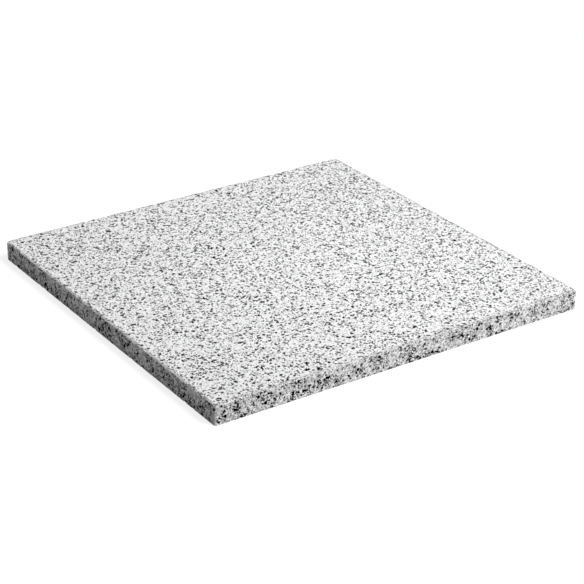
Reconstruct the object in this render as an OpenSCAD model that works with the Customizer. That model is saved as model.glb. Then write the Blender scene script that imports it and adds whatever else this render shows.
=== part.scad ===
// Granite paving slab: one sawn piece of stone with a square plan, a flat bed face,
// rounded upright corners and a lightly eased edge all round its top and its underside.
// Origin: middle of the bed face. +Z is up, towards the walking face.

/* [Slab] */
// Width of the slab, left to right
slab_width = 600; // [200:10:1200]
// Depth of the slab, front to back
slab_depth = 600; // [200:10:1200]
// Thickness of the slab, bed face to walking face
slab_thickness = 30; // [20:1:80]

/* [Edges] */
// Radius of the four upright corners, seen in plan
corner_radius = 4; // [3:0.5:20]
// Width of the eased edge round the walking face
top_arris = 1.5; // [0.5:0.25:2.5]
// Width of the eased edge round the bed face
bed_arris = 1; // [0.5:0.25:2.5]

/* [Stone] */
// Colour of the stone, averaged over its grains
stone_colour = "LightGray"; // [LightGray, Silver, Gainsboro, DarkGray]

/* [Hidden] */
// Straight length of the sides between two corner roundings
straight_width = slab_width - 2 * corner_radius;
straight_depth = slab_depth - 2 * corner_radius;
// Facets of a corner rounding in previews
corner_facets = 64;

// Upright section from the middle line out to reach, with both eased edges cut at 45 degrees
module half_section(reach) {
    polygon([
        [0, 0],
        [reach - bed_arris, 0],
        [reach, bed_arris],
        [reach, slab_thickness - top_arris],
        [reach - top_arris, slab_thickness],
        [0, slab_thickness],
    ]);
}

// Bar of the full section, lying along Y: bar_width wide and bar_length long
module edged_bar(bar_width, bar_length) {
    rotate([90, 0, 0])
        linear_extrude(height = bar_length, center = true) {
            half_section(bar_width / 2);
            mirror([1, 0]) half_section(bar_width / 2);
        }
}

// Upright corner: the same section turned about the middle of the rounding
module round_corner() {
    rotate_extrude($fn = corner_facets) half_section(corner_radius);
}

// The whole slab: two crossed bars fill the plan up to the four round corners
module slab() {
    color(stone_colour)
        union() {
            edged_bar(slab_width, straight_depth);
            rotate([0, 0, 90]) edged_bar(slab_depth, straight_width);
            for (side = [-1, 1], end = [-1, 1])
                translate([side * straight_width / 2, end * straight_depth / 2, 0])
                    round_corner();
        }
}

slab();
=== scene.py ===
# %% [markdown]
# # A granite paving slab
#
# A paving slab is one piece of stone. A gang saw cuts a block into sheets, a disc saw
# cuts the sheets into squares, and a hot flame is then drawn over the upper face. The
# flame bursts the surface crystals, which leaves a rough, whitish, slip-resistant face,
# while the sides and the bed face stay as the saw left them.
#
# The CAD solid already holds the true size. This lesson replaces it with one closed mesh
# that has the relief of the stone, and gives that mesh two finishes: flamed and sawn.

import math

import bpy
import numpy as np
from mathutils import Matrix, Vector


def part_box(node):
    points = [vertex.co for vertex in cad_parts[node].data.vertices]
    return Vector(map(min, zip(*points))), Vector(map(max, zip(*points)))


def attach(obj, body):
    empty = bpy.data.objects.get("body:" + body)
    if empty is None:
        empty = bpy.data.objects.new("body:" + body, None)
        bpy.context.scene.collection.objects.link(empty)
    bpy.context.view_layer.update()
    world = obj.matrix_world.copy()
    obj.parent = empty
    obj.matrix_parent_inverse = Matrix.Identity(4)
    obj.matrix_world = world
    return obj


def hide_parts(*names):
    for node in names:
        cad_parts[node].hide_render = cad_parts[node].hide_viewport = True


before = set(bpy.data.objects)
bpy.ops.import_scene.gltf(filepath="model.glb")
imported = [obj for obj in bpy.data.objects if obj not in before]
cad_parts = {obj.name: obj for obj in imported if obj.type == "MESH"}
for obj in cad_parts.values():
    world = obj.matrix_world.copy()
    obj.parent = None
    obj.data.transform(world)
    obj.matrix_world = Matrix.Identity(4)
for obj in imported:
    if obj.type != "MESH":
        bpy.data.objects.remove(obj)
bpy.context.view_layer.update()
LOW, HIGH = (np.array(corner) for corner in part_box("slab"))
HALF_SIDE = float(HIGH[0] - LOW[0]) / 2
THICKNESS = float(HIGH[2] - LOW[2])
MM = 0.001
print("slab side", 2 * HALF_SIDE, "m, thickness", THICKNESS, "m")

# %% [markdown]
# ## Camera
#
# A product view of a slab is taken from a little above one corner, with a long lens so
# that the far side hardly shrinks. The camera could be aimed with a Track To constraint,
# but a matrix made of three turns says exactly where it is and needs nothing else: tip it
# up from looking straight down, turn it round the vertical, and step back along its axis.

# %% Camera
CAMERA_AZIMUTH = math.radians(-33.41)  # round the vertical, from looking along +Y
CAMERA_ELEVATION = math.radians(26.03)
CAMERA_ROLL = math.radians(-0.12)
CAMERA_DISTANCE = 2.7024
AIM_RIGHT, AIM_UP = 0.0124, -0.0127  # where it aims, from the middle of the bed face
LENS_MM = 113.96

turn = (
    Matrix.Rotation(CAMERA_AZIMUTH, 4, "Z")
    @ Matrix.Rotation(math.pi / 2 - CAMERA_ELEVATION, 4, "X")
    @ Matrix.Rotation(CAMERA_ROLL, 4, "Z")
)
camera_data = bpy.data.cameras.new("product_camera")
camera_data.lens = LENS_MM
camera = bpy.data.objects.new("product_camera", camera_data)
camera.matrix_world = turn @ Matrix.Translation(Vector((AIM_RIGHT, AIM_UP, CAMERA_DISTANCE)))
bpy.context.scene.collection.objects.link(camera)
bpy.context.scene.camera = camera
print("camera at", [round(v, 3) for v in camera.matrix_world.translation])

# %% [markdown]
# ## Noise that works on whole arrays
#
# Stone relief is irregular but has a scale: crystals of a few millimetres, hollows a
# little wider. Blender's own noise takes one point at a time from Python, which is slow
# for a hundred thousand points, so two classic noises are written here for numpy.
# Value noise blends random heights between the corners of a lattice. Cell noise, also
# called Worley noise, scatters one seed in each lattice cell and measures how far the
# nearest seed is, which gives rounded grains and hollows.

# %% Random numbers from lattice cells
MIX_X, MIX_Y, MIX_Z = 73856093, 19349663, 83492791  # large odd numbers, one for each axis
MIX_SALT, STIR = 40503, 739982445  # odd as well
LARGEST = 0xFFFFFFFF  # the largest number of 32 bits


def cell_random(cells, salt):
    """Random numbers from 0 to 1, one for each whole-number cell (x, y, z).

    The three numbers are each multiplied by a large odd number, folded together and
    stirred twice, so the same cell and salt always give the same number.
    """
    mixed = cells[..., 0] * MIX_X ^ cells[..., 1] * MIX_Y ^ cells[..., 2] * MIX_Z
    mixed = (mixed ^ salt * MIX_SALT) & LARGEST
    for _ in range(2):
        mixed = ((mixed ^ (mixed >> 15)) * STIR) & LARGEST
    return (mixed ^ (mixed >> 16)) / LARGEST


# %% Value noise
def value_noise(points, size, salt):
    """Smooth noise from 0 to 1 with bumps about `size` wide.

    Each lattice corner has a random height. A point takes the heights of the eight
    corners round it, weighted by an S-curve of its distance to each.
    """
    scaled = points / size
    cell = np.floor(scaled).astype(np.int64)
    near = scaled - cell
    near = near * near * (3 - 2 * near)
    total = np.zeros(len(points))
    for corner in np.ndindex(2, 2, 2):
        weight = np.prod(np.where(corner, near, 1 - near), axis=1)
        total += weight * cell_random(cell + np.array(corner), salt)
    return total


# %% Cell noise
def cell_noise(points, size, salt):
    """Distance to the nearest seed, in cells, and a random number of that seed.

    Each lattice cell holds one seed at a random place. The 27 cells round a point are
    searched one after the other, all points at once, and the nearest seed wins.
    """
    scaled = points / size
    cell = np.floor(scaled).astype(np.int64)
    nearest = np.full(len(points), np.inf)
    owner = np.zeros(len(points))
    for step in np.ndindex(3, 3, 3):
        other = cell + np.array(step) - 1
        seed = other + np.stack([cell_random(other, salt + k) for k in (1, 2, 3)], axis=1)
        distance = np.linalg.norm(scaled - seed, axis=1)
        closer = distance < nearest
        nearest = np.where(closer, distance, nearest)
        owner = np.where(closer, cell_random(other, salt + 4), owner)
    return nearest, owner


print("noise ready:", value_noise(np.zeros((1, 3)), 1.0, 1))

# %% [markdown]
# ## The plan: a square grid bent to round corners
#
# The slab's plan is a square with four round corners. A cylinder or a bevelled cube
# would put its vertices in the wrong places for relief, so the top is one even grid. Its
# outer cells are bent: a grid point beyond the core square keeps its distance from the
# core, measured along the grid, but is turned to lie on a circle. Square rings become
# round-cornered rings, and the same rule carries on over the edge and down the sides.

# %% Plan of the slab
CORNER_RADIUS = 4.0 * MM
TOP_ARRIS = 1.5 * MM  # radius of the eased edge round the top
BED_ARRIS = 1.0 * MM
GRID_STEP = 2.22 * MM  # nearly: the cells divide the side evenly
CORNER_CELLS = 3  # cells across the bent border of the grid
CORE_HALF = HALF_SIDE - CORNER_RADIUS


def bend_to_rings(square):
    """Core point, outward direction and reach of each point of a square grid.

    The core point is the point clamped to the core square. The outward direction is the
    unit step from there to the point, and nothing inside the core. The reach is how far
    outside the core the point lies, measured along the grid.
    """
    core = np.clip(square, -CORE_HALF, CORE_HALF)
    step = square - core
    length = np.linalg.norm(step, axis=-1, keepdims=True)
    outward = np.divide(step, length, out=np.zeros_like(step), where=length > 0)
    return core, outward, np.abs(step).max(axis=-1, keepdims=True)


core_lines = np.linspace(-CORE_HALF, CORE_HALF, 1 + round(2 * CORE_HALF / GRID_STEP))
border_lines = CORE_HALF + (CORNER_RADIUS - TOP_ARRIS) * np.arange(1, CORNER_CELLS + 1) / CORNER_CELLS
lines = np.concatenate([-border_lines[::-1], core_lines, border_lines])
CELLS = len(lines) - 1
grid_y, grid_x = np.meshgrid(lines, lines, indexing="ij")
top_square = np.stack([grid_x, grid_y], axis=-1).reshape(-1, 2)
core, outward, reach = bend_to_rings(top_square)
top_points = np.column_stack([core + outward * reach, np.full(len(core), THICKNESS)])
print("top grid", CELLS, "by", CELLS, "cells of", round(GRID_STEP / MM, 2), "mm")

# %% [markdown]
# ## The sides: one profile carried round the border
#
# The border of the top grid, walked anticlockwise, is the first row of the sides. The
# other rows follow an upright profile: a quarter round for the eased top edge, the
# straight sawn side, and a smaller quarter round at the bed. A loft is the name for this
# in a modelling program. Here it is one addition: the core point of each border vertex,
# plus its outward direction times how far out the row lies.

# %% Profile of the side
ARRIS_ROWS, SIDE_ROWS, BED_ROWS = 4, 15, 3
END_CROWDING = 0.1  # draws the rows of the side towards both of its edges

over = np.linspace(math.pi / 2, 0, ARRIS_ROWS + 1)[1:]
under = np.linspace(0, -math.pi / 2, BED_ROWS + 1)[1:]
down = np.linspace(0, 1, SIDE_ROWS + 1)[1:]
down = down - END_CROWDING * np.sin(2 * math.pi * down)
side_top, side_bottom = THICKNESS - TOP_ARRIS, BED_ARRIS
row_inset = np.concatenate(
    [TOP_ARRIS * (1 - np.cos(over)), np.zeros(SIDE_ROWS), BED_ARRIS * (1 - np.cos(under))]
)
row_height = np.concatenate(
    [
        side_top + TOP_ARRIS * np.sin(over),
        side_top + (side_bottom - side_top) * down,
        side_bottom + BED_ARRIS * np.sin(under),
    ]
)
ROWS = len(row_height)
print("profile of", ROWS, "rows below the border of the top")

# %% Sides of the slab
index = np.arange((CELLS + 1) ** 2).reshape(CELLS + 1, CELLS + 1)
border = np.concatenate([index[0, :-1], index[:-1, -1], index[-1, :0:-1], index[:0:-1, 0]])
AROUND = len(border)
ring = core[border][None] + outward[border][None] * (CORNER_RADIUS - row_inset)[:, None, None]
side_points = np.concatenate(
    [ring, np.broadcast_to(row_height[:, None, None], (ROWS, AROUND, 1))], axis=-1
).reshape(-1, 3)
print("sides", ROWS, "rows of", AROUND, "vertices")

# %% [markdown]
# ## The bed face: a coarse grid inside a fine border
#
# Nobody sees crystals standing out of a sawn bed face, so it needs few faces, but its
# border has to meet the fine last row of the sides or the mesh would have slits. The
# middle is a coarse grid. Between the two runs one ring of many-sided flat faces, each
# with one coarse edge on the inside and the matching fine edges on the outside.

# %% Bed face
COARSE = 12  # fine cells along each coarse cell
BED_MARGIN = 18 * MM  # width of the joining ring
anchors = np.unique(np.append(np.arange(0, CELLS, COARSE), CELLS))
COARSE_CELLS = len(anchors) - 1
bed_lines = lines[anchors] * (CORE_HALF - BED_MARGIN) / lines[-1]
bed_y, bed_x = np.meshgrid(bed_lines, bed_lines, indexing="ij")
bed_points = np.column_stack([bed_x.ravel(), bed_y.ravel(), np.zeros(bed_x.size)])
print("bed grid", COARSE_CELLS, "by", COARSE_CELLS, "cells")

# %% [markdown]
# ## Relief
#
# Relief could be a Displace modifier with a texture, but the depth has to go inwards only
# so that the slab keeps its size, it differs between the flamed top and the sawn sides,
# and the edges need chips of their own. All of that is a sum of depths, so it is done on
# the vertices. The flamed face is a mixture of broad hollows, crystal-sized bumps and
# burst pits. A point on the side only has a trace of it.

# %% Depth of the flamed and sawn relief
HOLLOW_SIZE, HOLLOW_DEPTH = 16 * MM, 0.35 * MM
BUMP_SIZE, BUMP_DEPTH = 5.5 * MM, 0.30 * MM
PIT_SIZE, PIT_DEPTH = 9 * MM, 0.9 * MM
PIT_REACH = 0.55  # radius of a pit, as a share of PIT_SIZE
PIT_FROM = 0.6  # a seed with a random number above this has burst
SAWN_SIZE, SAWN_DEPTH = 7 * MM, 0.10 * MM
SAW_STRETCH = 2.5  # how much longer a wave is along the side than up it
HOLLOW_SALT, BUMP_SALT, PIT_SALT, SAWN_SALT = 11, 12, 20, 31  # make the noises differ


def flamed_depth(points):
    """Depth below the flame-burst face.

    Broad hollows plus crystal bumps, plus a dish round two seeds in five. A dish is
    deepest at its seed, its depth falls with the square of the distance, and the further
    the seed's random number is above PIT_FROM, the deeper the whole dish is.
    """
    hollows = value_noise(points, HOLLOW_SIZE, HOLLOW_SALT)
    bumps = value_noise(points, BUMP_SIZE, BUMP_SALT)
    nearest, owner = cell_noise(points, PIT_SIZE, PIT_SALT)
    burst = np.clip((owner - PIT_FROM) / (1 - PIT_FROM), 0, 1)
    dish = np.clip(1 - (nearest / PIT_REACH) ** 2, 0, 1) * burst
    return HOLLOW_DEPTH * hollows + BUMP_DEPTH * bumps + PIT_DEPTH * dish


def sawn_depth(points):
    """Depth below a sawn face: a trace of waviness, stretched along the saw's path."""
    return SAWN_DEPTH * value_noise(points * [1, 1, SAW_STRETCH], SAWN_SIZE, SAWN_SALT)


# %% [markdown]
# ## Chips along the edges
#
# Stone edges break where a crystal lets go. Each chip is a shallow bite centred on an
# edge: all points within its radius move inwards and away from the edge, the most at the
# centre. Chips are many and small, so they are drawn from a skewed random law, and the
# random generator has a fixed seed so the slab is the same on every run.

# %% Chips
CHIP_SEED = 7
TOP_CHIPS, BED_CHIPS = 420, 160
CHIP_SMALL, CHIP_LARGE = 1.4 * MM, 4.2 * MM  # radii
BITE_SHARE, BITE_MOST = 0.36, 1.0 * MM  # depth of a bite, as a share of its radius, and its limit
draw = np.random.default_rng(CHIP_SEED)


def chip_centres(count, height):
    """Random points on the rounded outline at one height, with a radius each.

    The radius is the small one plus the span to the large one times a cubed random
    number, so most chips are small.
    """
    place = draw.integers(0, AROUND, count)
    along = core[border][place] + outward[border][place] * CORNER_RADIUS
    radius = CHIP_SMALL + (CHIP_LARGE - CHIP_SMALL) * draw.random(count) ** 3
    return np.column_stack([along, np.full(count, height)]), radius


def chip_depth(points, centres, radii):
    """How deep the deepest chip bites at each point: a dish round each centre."""
    depth = np.zeros(len(points))
    for centre, radius in zip(centres, radii):
        away = ((points - centre) ** 2).sum(axis=1) / radius**2
        depth = np.maximum(depth, BITE_SHARE * radius * np.clip(1 - away, 0, 1))
    return np.minimum(depth, BITE_MOST)


# %% Carve the relief
LEVEL_PERCENT = 2  # percent of the top that stays level with the CAD face
EDGE_SHARE = 0.5  # share of the top's relief by which the eased edge draws back
BITE_INWARD, BITE_DOWN = 0.8, 0.7  # shares of a bite that go inwards and, at the top, down

points = np.concatenate([top_points, side_points])
out_xy = np.concatenate([outward, np.tile(outward[border], (ROWS, 1))])
height_below_top = THICKNESS - points[:, 2]
on_top = np.clip(1 - height_below_top / (2 * TOP_ARRIS), 0, 1)
side_share = 1 - on_top

relief = flamed_depth(points)
relief = np.maximum(relief - np.percentile(relief[: len(top_points)], LEVEL_PERCENT), 0)
inward_z = -relief * on_top
edge_depth = EDGE_SHARE * relief * on_top * side_share
inward_xy = -out_xy * (sawn_depth(points) * side_share + edge_depth)[:, None]

near_edge = np.flatnonzero(np.abs(points[:, :2]).max(axis=1) > HALF_SIDE - CHIP_LARGE - CORNER_RADIUS)
top_bite = np.zeros(len(points))
bed_bite = np.zeros(len(points))
top_bite[near_edge] = chip_depth(points[near_edge], *chip_centres(TOP_CHIPS, THICKNESS))
bed_bite[near_edge] = chip_depth(points[near_edge], *chip_centres(BED_CHIPS, 0.0))

carved = points.copy()
edge_out = bend_to_rings(points[:, :2])[1]
carved[:, :2] += inward_xy - edge_out * ((top_bite + bed_bite) * BITE_INWARD)[:, None]
carved[:, 2] += inward_z - BITE_DOWN * top_bite
carved[-AROUND:, 2] = 0.0  # the last row lies in the plane of the bed
print("relief", round(relief.max() / MM, 2), "mm deep, chips to", round(top_bite.max() / MM, 2), "mm")

# %% [markdown]
# ## One closed mesh
#
# The faces are index arrays: a vertex of the grid and its neighbours to the right and
# above make one quad. All faces are listed anticlockwise as seen from outside, because
# that is how Blender knows which way a face looks.

# %% Faces of the top and sides
right_below, right_above = index[:-1, 1:], index[1:, 1:]
top_faces = np.stack([index[:-1, :-1], right_below, right_above, index[1:, :-1]], axis=-1).reshape(-1, 4)

side_start = len(top_points)
side_index = np.concatenate([border[None], side_start + np.arange(ROWS * AROUND).reshape(ROWS, AROUND)])
following = np.roll(side_index, -1, axis=1)
side_faces = np.stack(
    [side_index[:-1], side_index[1:], following[1:], following[:-1]], axis=-1
).reshape(-1, 4)
print(len(top_faces), "top faces,", len(side_faces), "side faces")

# %% Faces of the bed
bed_start = len(carved)
bed_index = bed_start + np.arange(len(bed_points)).reshape(COARSE_CELLS + 1, COARSE_CELLS + 1)
bed_faces = np.stack(
    [bed_index[:-1, :-1], bed_index[1:, :-1], bed_index[1:, 1:], bed_index[:-1, 1:]], axis=-1
).reshape(-1, 4)

bed_border = np.concatenate(
    [bed_index[0, :-1], bed_index[:-1, -1], bed_index[-1, :0:-1], bed_index[:0:-1, 0]]
)
backwards = CELLS - anchors[::-1]  # the walk comes back along the third and fourth sides
starts = np.concatenate(
    [side * CELLS + walk[:-1] for side, walk in enumerate((anchors, anchors, backwards, backwards))]
)
stops = np.append(starts[1:], AROUND)
last_row = side_index[-1]
join_faces = []
for start, stop, coarse, next_coarse in zip(starts, stops, bed_border, np.roll(bed_border, -1)):
    fine = last_row[np.arange(start, stop + 1) % AROUND]
    join_faces.append([*fine[::-1], coarse, next_coarse])
print(len(bed_faces), "coarse bed faces and", len(join_faces), "that join them to the sides")

# %% Mesh object
slab_mesh = bpy.data.meshes.new("slab_stone")
slab_mesh.from_pydata(
    np.concatenate([carved, bed_points]),
    [],
    top_faces.tolist() + side_faces.tolist() + bed_faces.tolist() + join_faces,
)
slab_mesh.validate()
slab_mesh.polygons.foreach_set("use_smooth", np.ones(len(slab_mesh.polygons), dtype=bool))
slab = bpy.data.objects.new("slab_stone", slab_mesh)
bpy.context.scene.collection.objects.link(slab)
triangles = len(slab_mesh.loops) - 2 * len(slab_mesh.polygons)
print("slab_stone:", len(slab_mesh.vertices), "vertices,", triangles, "triangles")

# %% [markdown]
# ## Attributes the finish reads
#
# A material can only follow chips if the mesh says where they are. The bruise mask is 1 where an
# edge has been knocked or eased, because crushed crystals look white. It also holds a
# painted highlight: a pale band down each rounded upright corner that stands in for the light
# the rounding catches. `border` is 1 along the edge of the top, which the flame leaves
# alone: its heat would break the edge off.

# %% Attributes
BRUISE_REACH = 2.2 * MM
UPRIGHT_CORNER_HIGHLIGHT = 0.7  # strength of the painted highlight down the rounded upright corners
CHIP_BRUISE = 3.0  # how bruised the deepest chip is, before it is held at 1
BORDER_REACH, BORDER_FADE = 4.6 * MM, 1.6 * MM
BORDER_DROP = 0.6 * MM  # the border ends this far down the eased edge


def store(name, values):
    """Keep one number for each vertex under a name that shaders can read."""
    attribute = slab_mesh.attributes.new(name, "FLOAT", "POINT")
    padded = np.zeros(len(slab_mesh.vertices), dtype=np.float32)
    padded[: len(values)] = values
    attribute.data.foreach_set("value", padded)


from_side = HALF_SIDE - np.abs(points[:, :2]).max(axis=1)
edge_distance = np.hypot(from_side, np.minimum(height_below_top, points[:, 2]))
bruise_and_corner_highlight = np.clip(1 - edge_distance / BRUISE_REACH, 0, 1)
bruise_and_corner_highlight = np.maximum(bruise_and_corner_highlight, np.clip(CHIP_BRUISE * (top_bite + bed_bite) / BITE_MOST, 0, 1))
corner_turn = 2 * np.abs(out_xy[:, 0] * out_xy[:, 1])  # 1 halfway round an upright corner
# painted highlight: the rounded upright corners are made paler, as if they caught the light
bruise_and_corner_highlight = np.maximum(bruise_and_corner_highlight, UPRIGHT_CORNER_HIGHLIGHT * corner_turn**2 * side_share)
store("bruise_and_corner_highlight", bruise_and_corner_highlight)
border_mask = np.clip((BORDER_REACH - from_side) / BORDER_FADE, 0, 1)
store("border", border_mask * np.clip(1 - height_below_top / BORDER_DROP, 0, 1))
print("bruised share of the vertices", round(float((bruise_and_corner_highlight > 0).mean()), 3))

# %% [markdown]
# ## A map for the surface
#
# The stone pattern is three-dimensional and needs no map, but a game or a viewer that
# takes the finish as pictures does. The map has six plain islands: the top, four side
# strips at nearly the same scale, and the bed at a smaller scale.

# %% Surface map: where each strip lies
TOP_SPAN = 0.72  # width of the top island in the unit square
BED_SPAN = 0.26
GAP = 0.006  # between the islands and round them
STRIP_STRETCH = 1.25  # the side strips are a little taller than true
STRIP_SPAN = TOP_SPAN * THICKNESS / (2 * HALF_SIDE) * STRIP_STRETCH

top_uv = GAP + TOP_SPAN * (top_square - lines[0]) / (lines[-1] - lines[0])
row_steps = np.hypot(
    np.diff(row_inset, prepend=TOP_ARRIS),
    np.diff(row_height, prepend=THICKNESS),
)
drop = 1 - np.append(0, np.cumsum(row_steps)) / row_steps.sum()  # 1 at the top edge, 0 at the bed

quad_column = np.tile(np.arange(AROUND), (ROWS, 1))
quad_row = np.tile(np.arange(ROWS)[:, None], (1, AROUND))
quad_side, quad_cell = quad_column // CELLS, quad_column % CELLS
along = (lines - lines[0]) / (lines[-1] - lines[0])
stretch = np.array([along, along, 1 - along[::-1], 1 - along[::-1]])
left_u = GAP + TOP_SPAN * stretch[quad_side, quad_cell]
right_u = GAP + TOP_SPAN * stretch[quad_side, quad_cell + 1]
strip_low = 2 * GAP + TOP_SPAN + quad_side * (STRIP_SPAN + GAP)
high_v = strip_low + STRIP_SPAN * drop[quad_row]
low_v = strip_low + STRIP_SPAN * drop[quad_row + 1]
print("side strips", round(STRIP_SPAN, 3), "high, one above the other")

# %% Surface map: write it
quad_corners = ((left_u, high_v), (left_u, low_v), (right_u, low_v), (right_u, high_v))
side_uv = np.stack([np.stack(corner, axis=-1) for corner in quad_corners], axis=-2).reshape(-1, 2)

bed_middle = np.array([1 - GAP - BED_SPAN / 2, GAP + BED_SPAN / 2])
all_xy = np.concatenate([carved, bed_points])[:, :2]
bed_uv = bed_middle + all_xy * [-1, 1] * BED_SPAN / (2 * HALF_SIDE)
bed_loops = np.concatenate([bed_faces.ravel()] + [np.array(face) for face in join_faces])

uv = np.concatenate([top_uv[top_faces.ravel()], side_uv, bed_uv[bed_loops]])
uv_layer = slab_mesh.uv_layers.new(name="OFBake")
uv_layer.data.foreach_set("uv", uv.astype(np.float32).ravel())
print("surface map from", uv.min(axis=0).round(3), "to", uv.max(axis=0).round(3))

# %% [markdown]
# ## Granite, as one node group
#
# Granite is three minerals grown together: white feldspar, glassy grey quartz and black
# mica. Both finishes need the same stone, so it is a node group. It takes a position and
# the tones and shares of the minerals, and gives back a colour, a mask of the mica and a
# height. A picture of real granite could be laid over the slab instead, but it would
# stretch at the edges and repeat. A pattern in space runs through the edges as crystals
# do. First come a few helpers, because node trees written in Python repeat themselves.

# %% Helpers: a node, and what feeds it
def add_node(tree, kind, **settings):
    """A new node with its settings, such as operation="ADD"."""
    node = tree.nodes.new(kind)
    for name, value in settings.items():
        setattr(node, name, value)
    return node


def plug(tree, socket, value):
    """Feed an input: link it when the value is a socket, else write the number in."""
    if isinstance(value, bpy.types.NodeSocket):
        tree.links.new(value, socket)
    else:
        socket.default_value = value


# %% Helpers: arithmetic on values and colours
def maths(tree, operation, *values):
    """A Math node on one to three values; gives its output."""
    node = add_node(tree, "ShaderNodeMath", operation=operation)
    for socket, value in zip(node.inputs, values):
        plug(tree, socket, value)
    return node.outputs[0]


def remap(tree, value, from_low, from_high, to_low, to_high):
    """A Map Range node that carries one span of numbers to another, held at the ends."""
    node = add_node(tree, "ShaderNodeMapRange")
    for socket, number in zip(node.inputs[:5], (value, from_low, from_high, to_low, to_high)):
        plug(tree, socket, number)
    return node.outputs["Result"]


def mix_values(tree, amount, below, above):
    """A Mix node set to plain values, whose sockets are numbers 0, 2 and 3."""
    node = add_node(tree, "ShaderNodeMix", data_type="FLOAT")
    plug(tree, node.inputs[0], amount)
    plug(tree, node.inputs[2], below)
    plug(tree, node.inputs[3], above)
    return node.outputs[0]


def mix_colours(tree, amount, below, above):
    """A Mix node set to colours, whose sockets come after those for values and vectors."""
    node = add_node(tree, "ShaderNodeMix", data_type="RGBA")
    plug(tree, node.inputs[0], amount)
    plug(tree, node.inputs[6], below)
    plug(tree, node.inputs[7], above)
    return node.outputs[2]


def grey(level):
    """A grey colour with full alpha."""
    return (level, level, level, 1.0)


# %% Helpers: crystals and noise
def crystals(tree, position, per_metre, feature="F1"):
    """A Voronoi node with so many cells to the metre."""
    node = add_node(tree, "ShaderNodeTexVoronoi", feature=feature)
    plug(tree, node.inputs["Vector"], position)
    plug(tree, node.inputs["Scale"], per_metre)
    return node


def random_of(tree, cells):
    """Three random values, from 0 to 1, of the cell that a point lies in.

    The Color of a cell also says where its seed lies, so a White Noise node turns it into
    three fresh values. Used as it is, it would put the crystals of one kind in layers.
    """
    drawn = add_node(tree, "ShaderNodeTexWhiteNoise", noise_dimensions="3D")
    plug(tree, drawn.inputs["Vector"], cells.outputs["Color"])
    split = add_node(tree, "ShaderNodeSeparateColor")
    plug(tree, split.inputs[0], drawn.outputs["Color"])
    return split.outputs[:3]


def noise(tree, position, per_metre, detail=2.0, roughness=0.5):
    """A Noise node with so many bumps to the metre."""
    node = add_node(tree, "ShaderNodeTexNoise")
    plug(tree, node.inputs["Vector"], position)
    plug(tree, node.inputs["Scale"], per_metre)
    plug(tree, node.inputs["Detail"], detail)
    plug(tree, node.inputs["Roughness"], roughness)
    return node


# %% Helper: a node group
def new_group(name, inputs, outputs):
    """A shader node group with named sockets; each is (name, kind, default)."""
    tree = bpy.data.node_groups.new(name, "ShaderNodeTree")
    for direction, sockets in (("INPUT", inputs), ("OUTPUT", outputs)):
        for label, kind, default in sockets:
            socket = tree.interface.new_socket(
                label, in_out=direction, socket_type=f"NodeSocket{kind}"
            )
            if default is not None:
                socket.default_value = default
    inside = tree.nodes.new("NodeGroupInput").outputs
    outside = tree.nodes.new("NodeGroupOutput").inputs
    return tree, inside, outside


# %% Granite group: its sockets
MINERALS = ("Smoky Quartz", "Clear Quartz", "Grey Feldspar", "Pale Feldspar", "White Feldspar")
grain, grain_in, grain_out = new_group(
    "granite_grain",
    [("Position", "Vector", None), ("Crystal Size", "Float", 0.0024)]
    + [(mineral, "Float", 0.8) for mineral in MINERALS]
    + [
        ("Mica", "Float", 0.02),
        ("Crystal Contrast", "Float", 0.1),
        ("Grain Share", "Float", 0.6),
        ("Speck Share", "Float", 0.3),
        ("Nests", "Float", 0.3),
        ("Seams", "Float", 0.3),
        ("Pale Rims", "Float", 0.5),
    ],
    [("Colour", "Color", None), ("Black", "Float", None), ("Height", "Float", None)],
)
print("granite_grain takes", ", ".join(socket.name for socket in grain_in if socket.name))

# %% [markdown]
# ### Pale crystals
#
# Each crystal is a cell of a Voronoi texture with random values of its own. The first
# picks the mineral, by walking through five tones from smoky quartz to white feldspar,
# and the second makes the crystal a little lighter or darker than its like. A noise bends
# the space first, so that the cell walls stop looking like flat cuts.

# %% Pale crystals
WOBBLE_PER_CRYSTAL = 0.8  # bumps of the bending noise to one crystal
WOBBLE_REACH = 0.8  # how far it bends, in crystals
TONE_PLACES = (0.0, 0.15, 0.35, 0.7, 1.0)  # random value at which each tone is reached
LIGHTEST = 0.95  # no part of the stone reflects more than this

per_metre = maths(grain, "DIVIDE", 1.0, grain_in["Crystal Size"])


def to_crystals(ratio):
    """So many cells or bumps to the metre for `ratio` of them to one crystal's width."""
    return maths(grain, "MULTIPLY", per_metre, ratio)


wobble = noise(grain, grain_in["Position"], to_crystals(WOBBLE_PER_CRYSTAL))
centred = add_node(grain, "ShaderNodeVectorMath", operation="SUBTRACT")
plug(grain, centred.inputs[0], wobble.outputs["Color"])
plug(grain, centred.inputs[1], (0.5, 0.5, 0.5))
scaled = add_node(grain, "ShaderNodeVectorMath", operation="SCALE")
plug(grain, scaled.inputs[0], centred.outputs[0])
plug(grain, scaled.inputs["Scale"], maths(grain, "MULTIPLY", grain_in["Crystal Size"], WOBBLE_REACH))
shifted = add_node(grain, "ShaderNodeVectorMath", operation="ADD")
plug(grain, shifted.inputs[0], grain_in["Position"])
plug(grain, shifted.inputs[1], scaled.outputs[0])
bent = shifted.outputs[0]

mineral, sheen, _ = random_of(grain, crystals(grain, bent, per_metre))
tone = grain_in[MINERALS[0]]
for name, start, stop in zip(MINERALS[1:], TONE_PLACES, TONE_PLACES[1:]):
    tone = mix_values(grain, remap(grain, mineral, start, stop, 0.0, 1.0), tone, grain_in[name])
sheen = maths(grain, "SUBTRACT", maths(grain, "MULTIPLY", sheen, 2.0), 1.0)
sheen = maths(grain, "MULTIPLY_ADD", sheen, grain_in["Crystal Contrast"], 1.0)
tone = maths(grain, "MINIMUM", maths(grain, "MULTIPLY", tone, sheen), LIGHTEST)
print("pale crystals take", len(grain.nodes), "nodes")

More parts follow.
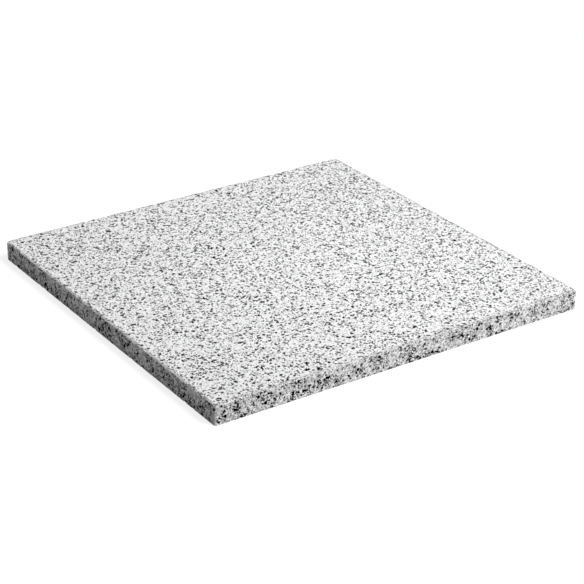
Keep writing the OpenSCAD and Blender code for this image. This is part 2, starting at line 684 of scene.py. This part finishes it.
# %% [markdown]
# ### Black mica
#
# Mica crystals are small, black and roundish where they are cut. Some cells of a second
# Voronoi texture hold one: a ball of random radius round the seed of the cell. Coarse
# grains and fine specks are two such layers. Mica isn't spread evenly: it gathers in
# nests as wide as a fingertip, which are a slow noise, and along the seams where groups of
# pale crystals meet, which are the walls of a coarse Voronoi texture. Both raise or lower
# the chance that a cell holds mica. A white rim of feldspar often surrounds it.

# %% Where the mica gathers
NESTS_PER_CRYSTAL = 0.185
NEST_OUTSIDE, NEST_INSIDE = 0.43, 0.61  # values of the slow noise
SEAMS_PER_CRYSTAL = 0.31
SEAM_INSIDE, SEAM_OUTSIDE = 0.02, 0.2  # distances from a wall, in cells
SWING = 0.8  # most that nests or seams add to or take from the chance, as a share

nests = noise(grain, grain_in["Position"], to_crystals(NESTS_PER_CRYSTAL), detail=1.0)
nests = remap(grain, nests.outputs["Fac"], NEST_OUTSIDE, NEST_INSIDE, -SWING, SWING)
nests = maths(grain, "MULTIPLY", nests, grain_in["Nests"])
seams = crystals(grain, bent, to_crystals(SEAMS_PER_CRYSTAL), "DISTANCE_TO_EDGE")
seams = remap(grain, seams.outputs["Distance"], SEAM_INSIDE, SEAM_OUTSIDE, SWING, -SWING)
seams = maths(grain, "MULTIPLY", seams, grain_in["Seams"])
chance = maths(grain, "MULTIPLY", maths(grain, "ADD", nests, 1.0), maths(grain, "ADD", seams, 1.0))
print("mica gathers in nests", round(1 / NESTS_PER_CRYSTAL), "crystals wide")

# %% Black flakes and their pale rims
GRAINS_PER_CRYSTAL = 0.5  # cells of the coarse layer to one pale crystal's width
GRAIN_LEAST, GRAIN_MOST = 0.37, 0.78  # radius of a coarse grain, in cells of its layer
SPECKS_PER_CRYSTAL = 1.26
SPECK_LEAST, SPECK_MOST = 0.39, 0.85
RARE = 4.0  # the higher this power, the rarer the large ones
RIM_WIDTH = 0.4  # in cells of the layer


def flakes(cells_per_crystal, least, most, share):
    """One layer of black grains: a mask of the grains and a mask that fades round them.

    A cell holds a grain if its random value is below the chance times the share. The
    radius, in cells, runs from the least to the most with a power of another value.
    """
    cells = crystals(grain, bent, to_crystals(cells_per_crystal))
    _, size, lot = random_of(grain, cells)
    present = maths(grain, "LESS_THAN", lot, maths(grain, "MULTIPLY", chance, share))
    radius = remap(grain, maths(grain, "POWER", size, RARE), 0.0, 1.0, least, most)
    gap = maths(grain, "SUBTRACT", cells.outputs["Distance"], radius)
    inside = maths(grain, "MULTIPLY", present, maths(grain, "LESS_THAN", gap, 0.0))
    rim = maths(grain, "MULTIPLY", present, remap(grain, gap, 0.0, RIM_WIDTH, 1.0, 0.0))
    return inside, rim


coarse_black, coarse_rim = flakes(GRAINS_PER_CRYSTAL, GRAIN_LEAST, GRAIN_MOST, grain_in["Grain Share"])
fine_black, fine_rim = flakes(SPECKS_PER_CRYSTAL, SPECK_LEAST, SPECK_MOST, grain_in["Speck Share"])
black = maths(grain, "MAXIMUM", coarse_black, fine_black)
rims = maths(grain, "MULTIPLY", maths(grain, "MAXIMUM", coarse_rim, fine_rim), grain_in["Pale Rims"])
widest = 2 * GRAIN_MOST / GRAINS_PER_CRYSTAL
print("black grains are at most", round(widest, 1), "crystals across")

# %% Granite group: what it gives back
MICA_DARKEST, MICA_LIGHTEST = 0.4, 1.6  # tones of single flakes, as shares of Mica

ground = mix_colours(grain, rims, tone, grey(LIGHTEST))
mica_share = remap(grain, mineral, 0.0, 1.0, MICA_DARKEST, MICA_LIGHTEST)
mica = maths(grain, "MULTIPLY", mica_share, grain_in["Mica"])
plug(grain, grain_out["Colour"], mix_colours(grain, black, ground, mica))
plug(grain, grain_out["Black"], black)
plug(grain, grain_out["Height"], mineral)
print("granite_grain has", len(grain.nodes), "nodes")

# %% [markdown]
# ## Edges, as a second group
#
# Both finishes change in patches near an edge. On the sides, crushed crystals scatter
# light and read as a paler line. The same pale tone is also a painted highlight down the
# rounded upright corners. On the top, the border that the flame left alone is greyer. Only
# the tone and the mask differ, so this is a group as well: it takes a colour and mixes the
# tone of the edge into it, in patches, where the mask is high.

# %% Edge group
PATCHES_PER_METRE = 380.0
PATCH_OUTSIDE, PATCH_INSIDE = 0.35, 0.6  # values of the noise

edging, edging_in, edging_out = new_group(
    "patchy_edge",
    [
        ("Colour", "Color", None),
        ("Edge Colour", "Color", None),
        ("Position", "Vector", None),
        ("Mask", "Float", 0.0),
        ("Amount", "Float", 0.5),
    ],
    [("Colour", "Color", None)],
)
patchy = noise(edging, edging_in["Position"], PATCHES_PER_METRE).outputs["Fac"]
patchy = remap(edging, patchy, PATCH_OUTSIDE, PATCH_INSIDE, 0.0, 1.0)
share = maths(edging, "MULTIPLY", patchy, edging_in["Amount"])
share = maths(edging, "MULTIPLY", share, edging_in["Mask"])
changed = mix_colours(edging, share, edging_in["Colour"], edging_in["Edge Colour"])
plug(edging, edging_out["Colour"], changed)
print("patchy_edge has", len(edging.nodes), "nodes")

# %% [markdown]
# ## Two finishes of one stone
#
# The two finishes are materials that differ in their numbers, so one function makes what
# they share: the granite group reads Object coordinates, its colour runs through the
# edge group and on to the shader, and mica is a little smoother than the rest. The
# mirror-like part of the shine is off, because a dusty, rough-cut stone mirrors nothing.

# %% Start of a stone material
DUSTY_SPECULAR = 0.0


def stone_material(name, tones, amounts, edge, roughness, mica_roughness):
    """A material with the grain, the edges and the gloss of one finish.

    The edge is a tuple: the mesh attribute that masks it, its colour and its amount.
    Gives the node tree, the shader, the position and the group node, to build on.
    """
    material = bpy.data.materials.new(name)
    material.use_nodes = True
    tree = material.node_tree
    shader = tree.nodes["Principled BSDF"]
    position = add_node(tree, "ShaderNodeTexCoord").outputs["Object"]
    grains = add_node(tree, "ShaderNodeGroup", node_tree=grain)
    plug(tree, grains.inputs["Position"], position)
    for label, value in {**dict(zip(MINERALS, tones)), **amounts}.items():
        plug(tree, grains.inputs[label], value)
    attribute, edge_colour, edge_amount = edge
    edges = add_node(tree, "ShaderNodeGroup", node_tree=edging)
    mask = add_node(tree, "ShaderNodeAttribute", attribute_name=attribute)
    plug(tree, edges.inputs["Colour"], grains.outputs["Colour"])
    plug(tree, edges.inputs["Edge Colour"], edge_colour)
    plug(tree, edges.inputs["Position"], position)
    plug(tree, edges.inputs["Mask"], mask.outputs["Fac"])
    plug(tree, edges.inputs["Amount"], edge_amount)
    plug(tree, shader.inputs["Base Color"], edges.outputs["Colour"])
    gloss = remap(tree, grains.outputs["Black"], 0.0, 1.0, roughness, mica_roughness)
    plug(tree, shader.inputs["Roughness"], gloss)
    shader.inputs["Specular IOR Level"].default_value = DUSTY_SPECULAR
    slab_mesh.materials.append(material)
    return tree, shader, position, grains


def add_bump(tree, shader, height, distance, strength):
    """Fine relief, too small for the mesh: a Bump node on the shader's normal."""
    bump = add_node(tree, "ShaderNodeBump")
    bump.inputs["Distance"].default_value = distance
    bump.inputs["Strength"].default_value = strength
    plug(tree, bump.inputs["Height"], height)
    plug(tree, shader.inputs["Normal"], bump.outputs["Normal"])


# %% [markdown]
# ## Flamed finish
#
# The flame whitens the feldspar, so the face is pale and matt, and the mica stays black
# as fine pepper. Grit that is too small for the mesh is a Bump node on a fine noise.

# %% Flamed finish
FLAMED_TONES = (0.60, 0.73, 0.86, 0.95, 0.95)
FLAMED_AMOUNTS = {
    "Crystal Size": 1.85 * MM,
    "Mica": 0.004,
    "Crystal Contrast": 0.06,
    "Grain Share": 0.60,
    "Speck Share": 0.20,
    "Nests": 0.3,
    "Seams": 0.4,
    "Pale Rims": 0.8,
}
UNFLAMED_EDGE = ("border", grey(0.34), 0.9)
GRIT_PER_METRE = 900.0

tree, shader, position, _ = stone_material(
    "flamed_granite", FLAMED_TONES, FLAMED_AMOUNTS, UNFLAMED_EDGE, roughness=0.9, mica_roughness=0.7
)
grit = noise(tree, position, GRIT_PER_METRE, detail=3.0, roughness=0.6).outputs["Fac"]
add_bump(tree, shader, grit, distance=0.4 * MM, strength=0.4)
print("flamed_granite has", len(tree.nodes), "nodes outside its groups")

# %% [markdown]
# ## Sawn finish
#
# The saw cuts every crystal flush, so the minerals keep their own tones: black mica,
# singly and in nests, in a ground of even grey. Each crystal wears a little differently
# under the saw, so the height of the group makes the bump here.

# %% Sawn finish
SAWN_TONES = (0.31, 0.41, 0.55, 0.82, 0.95)
SAWN_AMOUNTS = {
    "Crystal Size": 2.1 * MM,
    "Mica": 0.004,
    "Crystal Contrast": 0.16,
    "Grain Share": 0.52,
    "Speck Share": 0.60,
    "Nests": 0.9,
    "Seams": 0.5,
    "Pale Rims": 0.5,
}
CRUSHED_EDGE_AND_HIGHLIGHT = ("bruise_and_corner_highlight", (0.8, 0.8, 0.79, 1.0), 0.35)  # crushed feldspar is white; down the upright corners the same tone is a painted highlight

tree, shader, _, grains = stone_material(
    "sawn_granite", SAWN_TONES, SAWN_AMOUNTS, CRUSHED_EDGE_AND_HIGHLIGHT, roughness=0.62, mica_roughness=0.45
)
add_bump(tree, shader, grains.outputs["Height"], distance=0.2 * MM, strength=0.5)
print("sawn_granite has", len(tree.nodes), "nodes outside its groups")

# %% [markdown]
# ## Where each finish lies
#
# A mesh can carry several materials, and each face keeps the number of the one it shows.
# The top and the upper rows of its eased edge are flamed, and all the rest is sawn. The
# faces were listed from the top down, so one slice of the list is flamed. Then the slab
# is handed to the frame: it rides on the only body there is and stands for the CAD slab,
# which is hidden.

# %% Which face has which finish
FLAMED, SAWN = 0, 1  # places in the mesh's list of materials
FLAMED_ROWS = 2  # rows of the eased edge that the flame reached
face_finish = np.full(len(slab_mesh.polygons), SAWN, dtype=np.int32)
face_finish[: len(top_faces) + FLAMED_ROWS * AROUND] = FLAMED
slab_mesh.polygons.foreach_set("material_index", face_finish)
print((face_finish == FLAMED).sum(), "flamed faces,", (face_finish == SAWN).sum(), "sawn")

# %% Hand the slab to the frame
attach(slab, "root")
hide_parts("slab")
print(slab.name, "stands for the CAD slab")

# %% [markdown]
# ## Floor, light and background
#
# The slab lies on a plain pale floor in a white room. A floor as white as it looks would
# light the shaded sides as brightly as the lit ones, and a room as bright would wash out
# the grain. So the floor and the room look white to the camera, in mirrors and through
# glass, and are dimmer to light that bounces. Light Path tells the two kinds of ray
# apart. The floor still takes the slab's shadow: part of its white is paint that can be
# shaded, and the rest is glow.

# %% What sees the white
def seen_directly(tree):
    """1 for rays from the camera, a mirror or glass, and 0 for bounced light."""
    path = add_node(tree, "ShaderNodeLightPath")
    seen = maths(tree, "MAXIMUM", path.outputs["Is Camera Ray"], path.outputs["Is Glossy Ray"])
    return maths(tree, "MAXIMUM", seen, path.outputs["Is Transmission Ray"])


def choose_shader(tree, amount, below, above, output_kind):
    """A Mix Shader between two shaders, plugged into the tree's output."""
    choose = add_node(tree, "ShaderNodeMixShader")
    for socket, value in zip(choose.inputs, (amount, below, above)):
        plug(tree, socket, value)
    output = add_node(tree, output_kind)
    plug(tree, output.inputs["Surface"], choose.outputs[0])


# %% Floor
FLOOR_HALF = 6.0
FLOOR_GAP = 0.2 * MM  # keeps the floor from lying in the bed face
FLOOR_BOUNCE = 0.46  # how pale the floor is to bounced light
FLOOR_PAINT, FLOOR_GLOW = 0.32, 0.80  # what the camera sees: paint that takes shadow, and glow

floor_mesh = bpy.data.meshes.new("floor")
floor_corners = [(-1, -1, 0), (1, -1, 0), (1, 1, 0), (-1, 1, 0)]
floor_mesh.from_pydata(np.array(floor_corners) * FLOOR_HALF, [], [(0, 1, 2, 3)])
floor = bpy.data.objects.new("floor", floor_mesh)
floor.location.z = float(LOW[2]) - FLOOR_GAP
bpy.context.scene.collection.objects.link(floor)

floor_material = bpy.data.materials.new("pale_floor")
floor_material.use_nodes = True
tree = floor_material.node_tree
tree.nodes.clear()
bounce = add_node(tree, "ShaderNodeBsdfDiffuse")
bounce.inputs["Color"].default_value = grey(FLOOR_BOUNCE)
paint = add_node(tree, "ShaderNodeBsdfDiffuse")
paint.inputs["Color"].default_value = grey(FLOOR_PAINT)
glow = add_node(tree, "ShaderNodeEmission")
glow.inputs["Strength"].default_value = FLOOR_GLOW
white = add_node(tree, "ShaderNodeAddShader")
plug(tree, white.inputs[0], paint.outputs[0])
plug(tree, white.inputs[1], glow.outputs[0])
choose_shader(tree, seen_directly(tree), bounce.outputs[0], white.outputs[0], "ShaderNodeOutputMaterial")
floor_mesh.materials.append(floor_material)
print("floor at", round(floor.location.z, 5), "m")

# %% World
AMBIENT = 0.23  # strength of the room's light
WHITE_STRENGTH = 1.0  # what the camera sees behind the floor

world = bpy.data.worlds.new("studio")
bpy.context.scene.world = world
world.use_nodes = True
tree = world.node_tree
tree.nodes.clear()
dim, white = (add_node(tree, "ShaderNodeBackground") for _ in range(2))
for background, strength in ((dim, AMBIENT), (white, WHITE_STRENGTH)):
    background.inputs["Color"].default_value = grey(1.0)
    background.inputs["Strength"].default_value = strength
choose_shader(tree, seen_directly(tree), dim.outputs[0], white.outputs[0], "ShaderNodeOutputWorld")
print("ambient light", AMBIENT)

# %% [markdown]
# ## Lamps
#
# A wide sun from high on the right lights the top and one side evenly and leaves the
# other side in shade, which shows how thick the slab is. A softbox adds to it. A real one
# carries a grid of cloth cells that keeps its light in a beam; here that is its spread.
# The beam is aimed a little to the right, so the light falls off at the slab's left end.

# %% Lamps
SUN_FROM = Vector((0.42, -0.75, 0.95))  # only its direction matters
SUN_STRENGTH = 1.9
SUN_SPREAD = math.radians(24)
BOX_PLACE = Vector((0.6, -1.15, 1.75))
BOX_AIM = Vector((0.18, 0.03, 0.0))
BOX_SIZE = 0.9
BOX_SPREAD = math.radians(48)
BOX_POWER = 2.4


def light(name, kind, place, aim, **settings):
    """A lamp at a place, turned to look at the point it is aimed at."""
    data = bpy.data.lights.new(name, kind)
    for key, value in settings.items():
        setattr(data, key, value)
    lamp = bpy.data.objects.new(name, data)
    lamp.location = place
    lamp.rotation_euler = (aim - place).to_track_quat("-Z", "Y").to_euler()
    bpy.context.scene.collection.objects.link(lamp)
    print(name, "at", [round(v, 2) for v in place])


light("key_sun", "SUN", SUN_FROM, Vector(), energy=SUN_STRENGTH, angle=SUN_SPREAD)
light(
    "side_softbox",
    "AREA",
    BOX_PLACE,
    BOX_AIM,
    shape="SQUARE",
    size=BOX_SIZE,
    spread=BOX_SPREAD,
    energy=BOX_POWER,
)
bpy.context.scene.view_settings.view_transform = "Standard"  # shows colours as written
